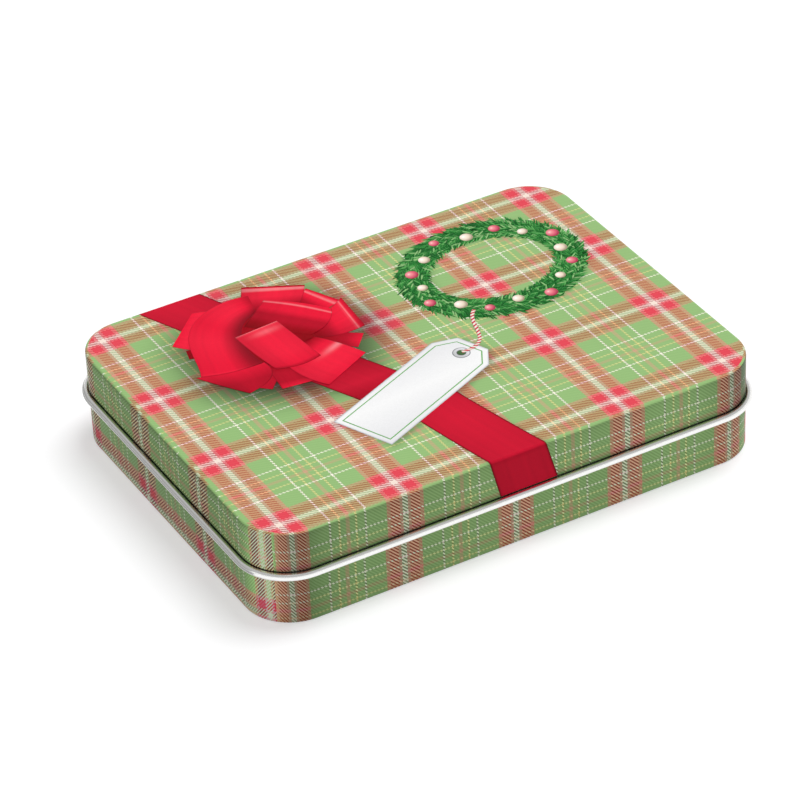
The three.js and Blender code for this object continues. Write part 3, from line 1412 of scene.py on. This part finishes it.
@dataclass(frozen=True)
class PaintedWreath(Motif):
    """A painted evergreen wreath: a dark ring, rows of needled twigs and small round baubles."""

    name: str = "wreath_print"
    shades: tuple[Shade, ...] = (((0.6, -1.0), 1.0, 0.5),)
    centre: Point = (38.5, 23.0)
    radii: Point = (23.0, 19.0)
    band: float = 8.8
    ragged: float = 0.12
    band_waves: int = 29
    band_inks: Ramp = ((0, "154F20"), (0.5, "24702F"), (1, "154F20"))
    twigs: int = 120
    needles: int = 13
    twig_length: float = 6.0
    twig_lanes: tuple[float, ...] = (-2.7, 2.7, 0.0)
    twig_leans: tuple[float, ...] = (0.45, -0.45, -0.1)
    needle_length: Point = (3.2, 2.2)
    needle_angle: Point = (0.75, 0.4)
    needle_spread: Point = (0.08, 0.2)
    needle_rows: tuple[float, ...] = (0.0, 0.3, 0.7, 1.0)
    needle_widths: tuple[float, ...] = (0.13, 0.26, 0.208, 0.0208)
    needle_tones: Point = (0.75, 1.1)
    needle_layers: tuple[float, ...] = (1.0, 1.5, 2.0, 2.5, 3.0, 3.5, 4.0, 4.5, 5.0, 5.5)
    greens: Ramp = ((0.16, "1F6B2C"), (0.24, "2C8237"), (0.25, "3F9645"), (0.2, "5FB05C"), (0.15, "97CC84"))
    seed: int = 7
    baubles: int = 16
    bauble_start: float = 0.3
    bauble_lanes: tuple[float, ...] = (1.5, -1.3, 0.2, -1.6)
    bauble_sizes: tuple[float, ...] = (1.9, 1.5, 1.7)
    bauble_gleam: Point = (-0.3, 0.35)
    bauble_layer: int = 7
    bauble_inks: tuple[Ramp, Ramp] = (
        ((0, "FFE3E0"), (0.25, "F49CA0"), (0.8, "E0677A"), (1.3, "A83A52")),
        ((0, "FFFFFF"), (0.3, "FBF1E4"), (0.85, "E9D5C0"), (1.3, "A89880")),
    )

    def ring(self, shift: float | Array, angles: float | Array) -> Array:
        """Places on the ring's ellipse, moved outwards by a shift.

        Args:
            shift: How far outside the band's middle.
            angles: Where on the ring, in radians.

        Returns:
            The places.
        """
        spread = np.array(self.radii) + np.asarray(shift)[..., None]
        return np.stack([np.cos(angles), np.sin(angles)], axis=-1) * spread + self.centre

    def shapes(self) -> list[Shape]:
        """Returns the plain band, from its inside out and once round."""
        return [lambda across, along: self.ring((across - 0.5) * self.band, along * 2 * math.pi)]

    def draw(self, picture: PrintedPicture) -> None:
        """Lays the band, whose sides wave, then the needles and the baubles.

        Args:
            picture: The film to lay them on.
        """
        across, along = np.meshgrid(np.linspace(0, 1, 9), np.linspace(0, 1, 145))
        wave = 1 + self.ragged * np.sin(along * self.band_waves * 2 * math.pi) * np.sign(across - 0.5)
        band = self.ring((across - 0.5) * wave * self.band, along * 2 * math.pi)
        picture.lay(band, blend_inks(self.band_inks, across), 0)
        self.lay_needles(picture)
        self.lay_baubles(picture)

    def lay_needles(self, picture: PrintedPicture) -> None:
        """Lays the needles: a twig lies along the ring and leans in or out, with needles on both sides.

        A needle leaves its twig at an angle and is a lens, as wide as its row says on both sides of
        its middle line. Length and angle fall from a twig's root to its tip and are a little random.

        Args:
            picture: The film to lay them on.
        """
        chance = np.random.default_rng(self.seed)
        count = self.twigs * self.needles
        angles = np.repeat(np.arange(self.twigs) / self.twigs * 2 * math.pi, self.needles)
        lane, lean = (
            np.repeat(np.resize(values, self.twigs), self.needles)
            for values in (self.twig_lanes, self.twig_leans)
        )
        step = np.tile(np.linspace(0, 1, self.needles), self.twigs)
        heading = angles + math.pi / 2 + lean
        stem = np.stack([np.cos(heading), np.sin(heading)], axis=1)
        roots = self.ring(lane, angles) + stem * ((step - 0.5) * self.twig_length)[:, None]
        angle, length = (
            root + (tip - root) * step for root, tip in (self.needle_angle, self.needle_length)
        )
        turn = heading + np.resize([1, -1], count) * angle + chance.normal(0, self.needle_spread[0], count)
        length = length + chance.normal(0, self.needle_spread[1], count)
        forward = np.stack([np.cos(turn), np.sin(turn)], axis=1)
        sideways = np.stack([-forward[:, 1], forward[:, 0]], axis=1)
        rows, widths = np.array(self.needle_rows), np.array(self.needle_widths)
        palette = np.array([ink_of(code) for _, code in self.greens])
        greens = palette[chance.choice(len(palette), count, p=[share for share, _ in self.greens])]
        tones = np.interp(rows, (0, 1), self.needle_tones)[:, None, None]
        for number in range(count):
            spine = roots[number] + rows[:, None] * forward[number] * length[number]
            offset = widths[:, None] * sideways[number]
            flat = np.stack([spine - offset, spine + offset], axis=1)
            ink = np.broadcast_to(greens[number], (len(rows), 2, 3)) * tones
            picture.lay(flat, ink, self.needle_layers[number % len(self.needle_layers)])

    def lay_baubles(self, picture: PrintedPicture) -> None:
        """Lays the round baubles, each lighter towards its upper left.

        Args:
            picture: The film to lay them on.
        """
        shape = disc(*np.meshgrid(np.linspace(-1, 1, 13), np.linspace(-1, 1, 13)))
        away = np.linalg.norm(shape - np.array(self.bauble_gleam), axis=-1)
        for number in range(self.baubles):
            angle = self.bauble_start + number * 2 * math.pi / self.baubles
            middle = self.ring(self.bauble_lanes[number % len(self.bauble_lanes)], angle)
            size = self.bauble_sizes[number % len(self.bauble_sizes)]
            ink = blend_inks(self.bauble_inks[number % len(self.bauble_inks)], away)
            picture.lay(shape * size + middle, ink, self.bauble_layer)


@dataclass(frozen=True)
class TwineLoop(Motif):
    """The painted twine that ties the tag's eyelet to the wreath, in two slanted colours."""

    name: str = "twine_print"
    first_layer: int = 2
    layer: int = 8
    line: tuple[Point, ...] = ((10.2, -8.4), (17.5, -5.5), (20.0, 1.5), (23.5, 7.5))
    width: float = 1.1
    turn: float = 1.5
    slant: float = 0.6
    cream_share: float = 0.44
    sharpness: float = 12.0
    roundness: float = 0.3
    cream: str = "F6EBDD"
    red: str = "D2314B"

    def place(self, across: Array, along: Array) -> Array:
        """Works out the twine's points: its line, and half its width to both sides.

        Args:
            across: Shares across the twine.
            along: Shares along it.

        Returns:
            The places.
        """
        middle = smooth_line(self.line, along)
        ahead = smooth_line(self.line, along + 0.001) - middle
        ahead /= np.linalg.norm(ahead, axis=-1, keepdims=True)
        sideways = np.stack([-ahead[..., 1], ahead[..., 0]], axis=-1)
        return middle + sideways * ((across - 0.5) * self.width)[..., None]

    def draw(self, picture: PrintedPicture) -> None:
        """Lays the twine.

        Args:
            picture: The film to lay it on.
        """
        stops = np.array(self.line)
        length = np.linalg.norm(np.diff(stops, axis=0), axis=1).sum()
        across, along = np.meshgrid(np.linspace(0, 1, 9), np.linspace(0, 1, 241))
        phase = (along * length / self.turn + across * self.slant) % 1
        red = np.clip((np.abs(phase - 0.5) - self.cream_share / 2) * self.sharpness, 0, 1)[..., None]
        ink = ink_of(self.cream) * (1 - red) + ink_of(self.red) * red
        rounded = (1 - self.roundness * (1 - np.sin(math.pi * across)))[..., None]
        picture.lay(self.place(across, along), ink * rounded, self.layer)


@dataclass(frozen=True)
class PhotoCamera:
    """The photograph's view, fitted to the tin's edges. Angles are in degrees, lengths in millimetres."""

    azimuth: float = -28.353
    elevation: float = 34.685
    roll: float = -2.735
    distance: float = 1100.4
    shift_right: float = -4.73
    shift_up: float = 9.70
    lens: float = 181.21
    sensor: float = 36.0

    def build(self) -> None:
        """Makes the scene's camera."""
        azimuth, elevation, roll = np.radians([self.azimuth, self.elevation, self.roll])
        back = np.array([
            math.sin(azimuth) * math.cos(elevation),
            -math.cos(azimuth) * math.cos(elevation),
            math.sin(elevation),
        ])
        level = np.array([math.cos(azimuth), math.sin(azimuth), 0])
        upright = np.cross(back, level)
        right = math.cos(roll) * level + math.sin(roll) * upright
        up = -math.sin(roll) * level + math.cos(roll) * upright
        data = bpy.data.cameras.new("photo_camera")
        data.lens, data.sensor_width = self.lens, self.sensor
        data.clip_start, data.clip_end = 0.05, 20.0
        camera = bpy.data.objects.new("photo_camera", data)
        matrix = np.eye(4)
        matrix[:3, :3] = np.stack([right, up, back], axis=1)
        matrix[:3, 3] = (back * self.distance + right * self.shift_right + up * self.shift_up) * MM
        camera.matrix_world = Matrix(matrix.tolist())
        bpy.context.scene.collection.objects.link(camera)
        bpy.context.scene.camera = camera


def glowing(name: str, places: Array, level: float) -> None:
    """Makes an evenly glowing sheet that only mirrors show: a painted reflection.

    Args:
        name: The sheet's name.
        places: Its grid of points.
        level: How bright it is.
    """
    numbers = np.arange(places[..., 0].size).reshape(places.shape[:2])
    corners = [numbers[:-1, :-1], numbers[1:, :-1], numbers[1:, 1:], numbers[:-1, 1:]]
    piece = make_mesh(name, places.reshape(-1, 3), np.stack(corners, axis=-1).reshape(-1, 4).tolist())
    # The sheet's glow is a painted reflection
    made, tree = new_tree(name + "_reflection_glow")
    glow = add(tree, "ShaderNodeEmission", {"Color": WHITE, "Strength": level})
    add(tree, "ShaderNodeOutputMaterial", {"Surface": glow})
    piece.data.materials.append(made)
    piece.visible_camera = piece.visible_diffuse = piece.visible_shadow = False
    piece.visible_transmission = piece.visible_volume_scatter = False


@dataclass(frozen=True)
class SoftLamp:
    """A soft sun that mirrors don't show. Its width in the sky and its place round and up are degrees."""

    name: str
    energy: float
    width: float
    azimuth: float
    elevation: float

    def build(self) -> None:
        """Hangs the lamp."""
        data = bpy.data.lights.new(self.name, "SUN")
        data.energy, data.angle = self.energy, math.radians(self.width)
        lamp = bpy.data.objects.new(self.name, data)
        lamp.rotation_euler = (math.radians(90 - self.elevation), 0, math.radians(90 + self.azimuth))
        lamp.visible_glossy = False
        bpy.context.scene.collection.objects.link(lamp)


@dataclass(frozen=True)
class GreyFlag:
    """A glowing grey flag that only mirrors show, a painted reflection: a part of a sphere round the tin.

    It goes from one angle to another round from the tin's right, and so above the horizon.
    """

    name: str
    level: float
    around: Point
    height: Point
    radius: float = 3000.0

    def build(self) -> None:
        """Hangs the flag."""
        around, height = (
            np.radians(np.linspace(*ends, count)) for ends, count in ((self.around, 49), (self.height, 17))
        )
        turn, rise = np.meshgrid(around, height)
        places = np.stack([np.cos(rise) * np.cos(turn), np.cos(rise) * np.sin(turn), np.sin(rise)], axis=-1)
        glowing(self.name, places * self.radius, self.level)


@dataclass(frozen=True)
class Studio:
    """A pale floor, an even sky, a soft lamp high on the right and a weak one low in front.

    Mirrors show glowing grey flags, painted reflections, instead of the lamps. The floor looks pale and
    lifted where the camera sees it, and lights the tin as a duller grey.
    """

    sky: float = 0.33
    floor_size: float = 12000.0
    floor_dull: float = 0.36
    floor_pale: tuple[float, float, float] = (0.62, 0.62, 0.63)
    floor_lift: float = 0.44
    lamps: tuple[SoftLamp, ...] = (
        SoftLamp("soft_right_lamp", energy=2.2, width=36.0, azimuth=10.0, elevation=67.0),
        SoftLamp("front_fill_lamp", energy=0.64, width=50.0, azimuth=-112.0, elevation=26.0),
    )
    # Glowing sheets that only mirrors show: painted reflections on the bare rim
    flags: tuple[GreyFlag, ...] = (
        GreyFlag("overhead_grey_flag", level=0.52, around=(0.0, 360.0), height=(30.0, 84.0)),
        GreyFlag("left_grey_flag", level=0.36, around=(90.0, 170.0), height=(8.0, 30.0)),
        GreyFlag("left_pale_flag", level=0.56, around=(90.0, 170.0), height=(-2.0, 8.0)),
    )
    # A glowing card that only mirrors show: a painted reflection of grey floor in the rim
    card_level: float = 0.38
    card_corners: tuple[Point, Point] = ((-600.0, -45.0), (-84.0, 500.0))

    def build(self) -> None:
        """Makes the floor, the lamps, what mirrors show of them and the world."""
        bpy.context.scene.view_settings.view_transform = "Standard"
        self.floor()
        for part in self.lamps + self.flags:
            part.build()
        self.card()
        world = bpy.data.worlds.new("even_sky")
        world.use_nodes = True
        tree = world.node_tree
        tree.nodes.clear()
        level = {"Value": self.seen(tree), "To Min": self.sky, "To Max": 1.0}
        strength = add(tree, "ShaderNodeMapRange", level)
        sky = add(tree, "ShaderNodeBackground", {"Color": WHITE, "Strength": strength})
        add(tree, "ShaderNodeOutputWorld", {"Surface": sky})
        bpy.context.scene.world = world

    @staticmethod
    def seen(tree: bpy.types.NodeTree) -> bpy.types.Node:
        """Adds the test for rays that show the background itself: straight, mirrored or let through.

        Args:
            tree: The node tree to add to.

        Returns:
            A node that gives one for such rays, and zero for others.
        """
        path = add(tree, "ShaderNodeLightPath").outputs
        seen = path["Is Camera Ray"]
        for ray in ("Is Glossy Ray", "Is Transmission Ray"):
            seen = add(tree, "ShaderNodeMath", {0: seen, 1: path[ray]}, operation="MAXIMUM")
        return seen

    def card(self) -> None:
        """Lays a glowing grey card on the floor, left of the tin, that only mirrors show: a painted
        reflection.
        """
        across, along = np.meshgrid(*np.transpose(self.card_corners))
        places = np.stack([across, along, np.ones(across.shape)], axis=-1)
        glowing("left_grey_card", places, self.card_level)

    def floor(self) -> None:
        """Makes the floor, which looks white and keeps the tin's shadow."""
        corners = np.array([[-1, -1, 0], [1, -1, 0], [1, 1, 0], [-1, 1, 0]]) * self.floor_size / 2
        piece = make_mesh("floor", corners, [[0, 1, 2, 3]])
        made, tree = new_tree("white_studio_paper")
        dull = add(tree, "ShaderNodeBsdfDiffuse", {"Color": (*[self.floor_dull] * 3, 1)})
        pale = add(tree, "ShaderNodeBsdfDiffuse", {"Color": (*self.floor_pale, 1)})
        lift = add(tree, "ShaderNodeEmission", {"Color": WHITE, "Strength": self.floor_lift})
        shown = add(tree, "ShaderNodeAddShader", {0: pale, 1: lift})
        both = add(tree, "ShaderNodeMixShader", {0: self.seen(tree), 1: dull, 2: shown})
        add(tree, "ShaderNodeOutputMaterial", {"Surface": both})
        piece.data.materials.append(made)


def main() -> None:
    """Builds the tin piece by piece and the studio round it."""
    logging.basicConfig(level=logging.INFO, format="%(message)s")
    PhotoCamera().build()
    Studio().build()
    sizes = TinSizes.from_frame()
    plan = Plan(sizes)
    sheet = [PlaidPrint(SatinVarnish()).material(), BareTinplate().material()]
    ink = PaintedInk().material()
    motifs = [motif(sizes) for motif in (GiftRibbon, GiftBow, BlankTag, PaintedWreath, TwineLoop)]
    shade = CastShade(sizes)
    for motif in motifs:
        for shift, spread, strength in motif.shades:
            shade.cast(motif.shapes(), shift, spread, strength)
    pieces = [Tray(sizes, plan).build(sheet), Lid(sizes, plan, shade=shade).build(sheet)]
    pieces += [motif.film(ink) for motif in motifs]
    for piece in pieces:
        LOG.info("%s: %d faces", piece.name, len(piece.data.polygons))


if __name__ == "__main__":
    main()
